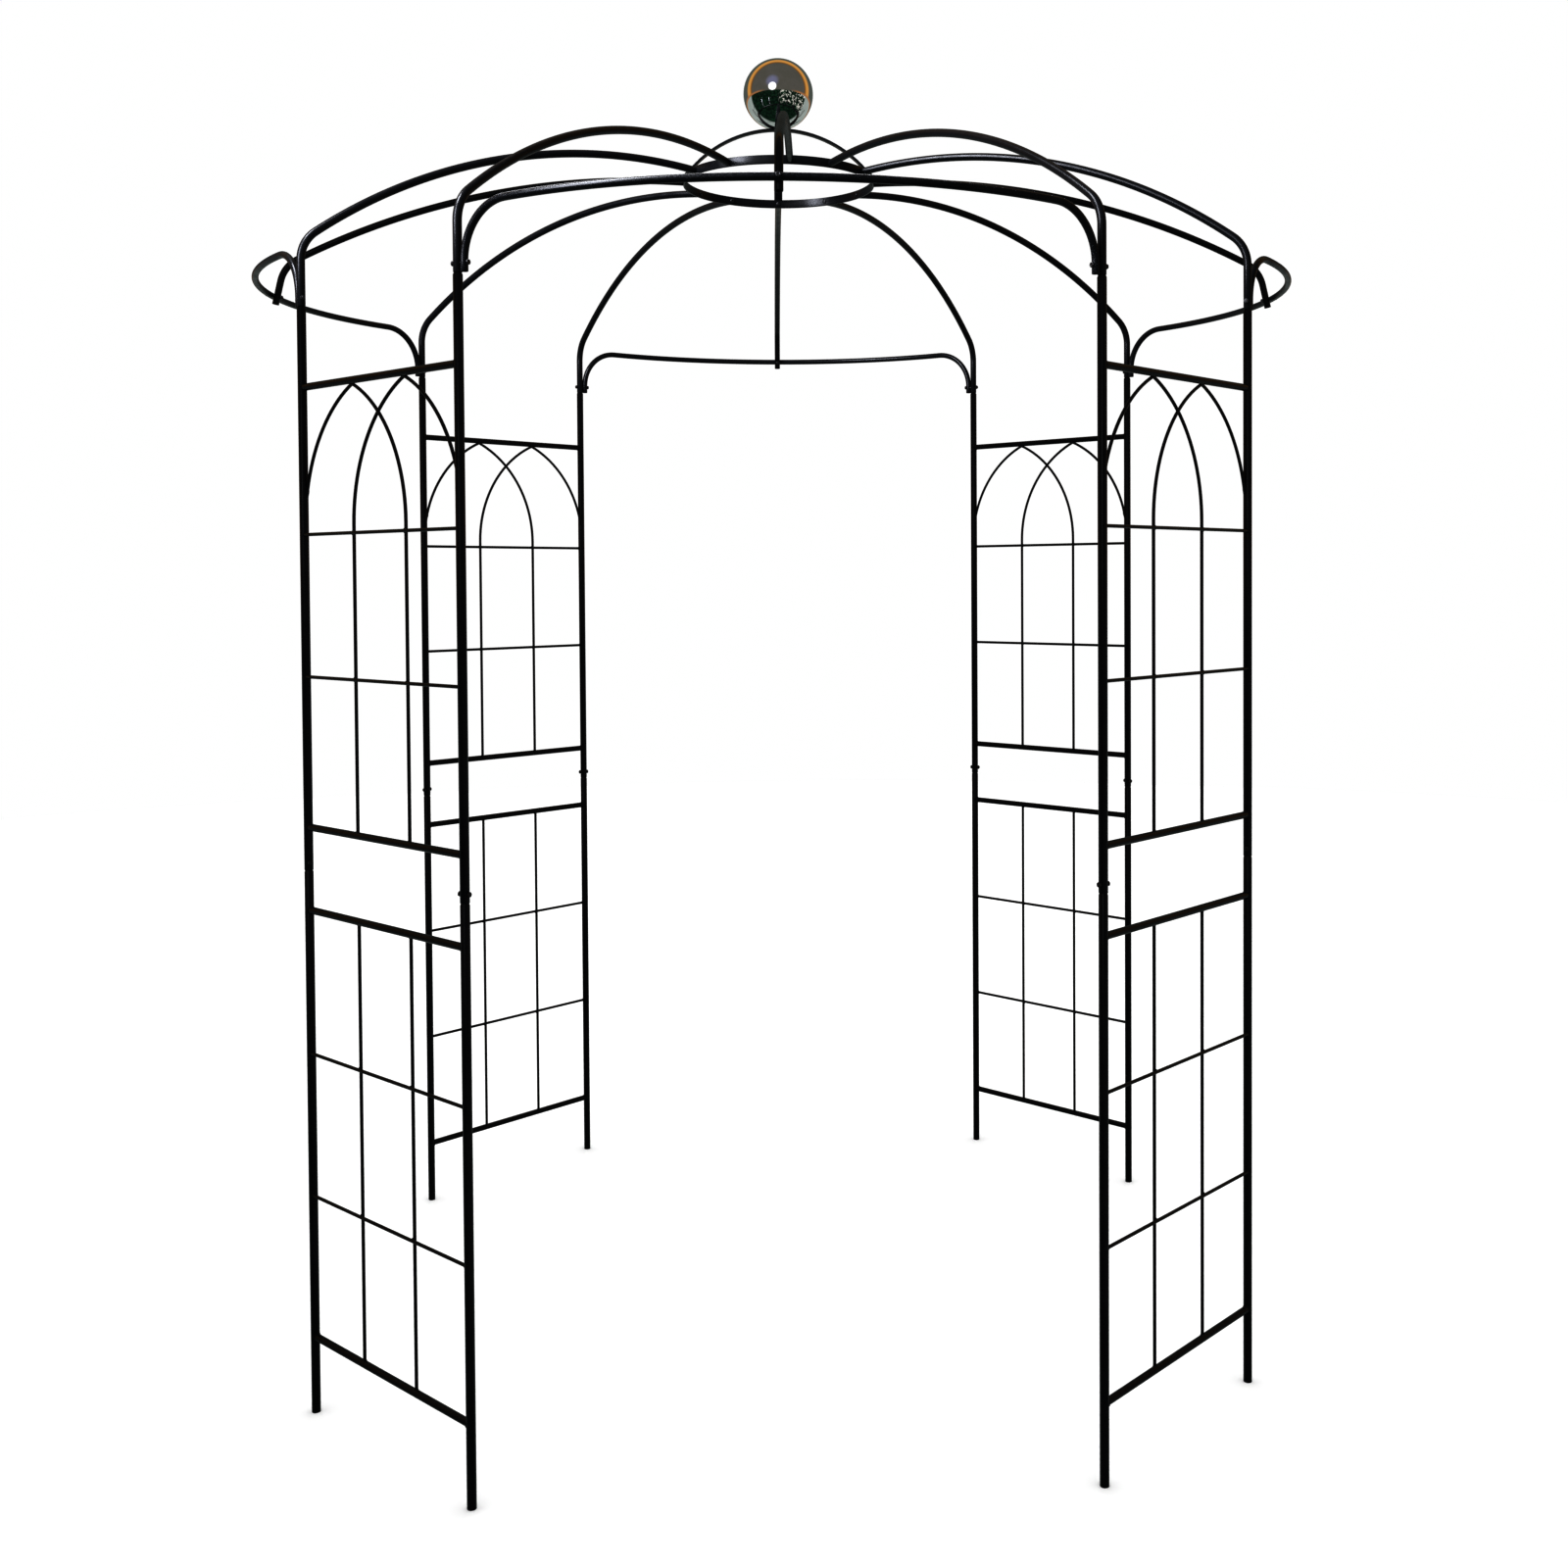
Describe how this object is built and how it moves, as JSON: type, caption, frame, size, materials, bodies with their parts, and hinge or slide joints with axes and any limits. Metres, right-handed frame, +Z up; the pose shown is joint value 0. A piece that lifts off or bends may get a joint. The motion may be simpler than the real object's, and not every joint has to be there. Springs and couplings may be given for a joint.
{
  "type": "garden obelisk",
  "caption": "Domed walk-through rose pavilion of black steel tube: ladder corner panels, bowed rims and roof ribs up to a ring with crossed hoops and a mirror ball.",
  "frame": {"origin": "on the ground at the centre of the plan", "axes": "+Z up; -Y faces out through the front doorway; +X to the right seen from the front"},
  "size_m": [2.192, 2.1918, 2.6623],
  "materials": {
    "frame_coat": "satin black powder coat on steel tube, rod and strap",
    "fastener_coat": "black coated steel bolts, nuts and screws",
    "bright_zinc": "zinc plated steel, hidden inside the tubes and the ball",
    "ball_mirror": "mirror polished stainless steel"
  },
  "bodies": {
    "root": {"lower_posts_front_right": "frame_coat", "lower_crossbars_front_right": "frame_coat", "lower_rods_front_right": "frame_coat", "upper_posts_front_right": "frame_coat", "upper_crossbars_front_right": "frame_coat", "upper_rods_front_right": "frame_coat", "lower_posts_back_right": "frame_coat", "lower_crossbars_back_right": "frame_coat", "lower_rods_back_right": "frame_coat", "upper_posts_back_right": "frame_coat", "upper_crossbars_back_right": "frame_coat", "upper_rods_back_right": "frame_coat", "lower_posts_back_left": "frame_coat", "lower_crossbars_back_left": "frame_coat", "lower_rods_back_left": "frame_coat", "upper_posts_back_left": "frame_coat", "upper_crossbars_back_left": "frame_coat", "upper_rods_back_left": "frame_coat", "lower_posts_front_left": "frame_coat", "lower_crossbars_front_left": "frame_coat", "lower_rods_front_left": "frame_coat", "upper_posts_front_left": "frame_coat", "upper_crossbars_front_left": "frame_coat", "upper_rods_front_left": "frame_coat", "rim_front": "frame_coat", "rim_right": "frame_coat", "rim_back": "frame_coat", "rim_left": "frame_coat", "post_rib_front_left": "frame_coat", "post_rib_front_right": "frame_coat", "centre_rib_front": "frame_coat", "post_rib_right_front": "frame_coat", "post_rib_right_back": "frame_coat", "centre_rib_right": "frame_coat", "post_rib_back_right": "frame_coat", "post_rib_back_left": "frame_coat", "centre_rib_back": "frame_coat", "post_rib_left_back": "frame_coat", "post_rib_left_front": "frame_coat", "centre_rib_left": "frame_coat", "rib_end_plugs": "bright_zinc", "crown_ring": "frame_coat", "crown_hoop_upper": "frame_coat", "crown_hoop_lower": "frame_coat", "ball": "ball_mirror", "ball_boss": "bright_zinc", "ball_bolt": "fastener_coat", "mid_joint_bolts": "fastener_coat", "mid_joint_nuts": "fastener_coat", "top_joint_bolts": "fastener_coat", "top_joint_nuts": "fastener_coat", "rim_rib_bolts": "fastener_coat", "rim_rib_nuts": "fastener_coat", "ring_screws": "fastener_coat"}
  },
  "joints": []
}
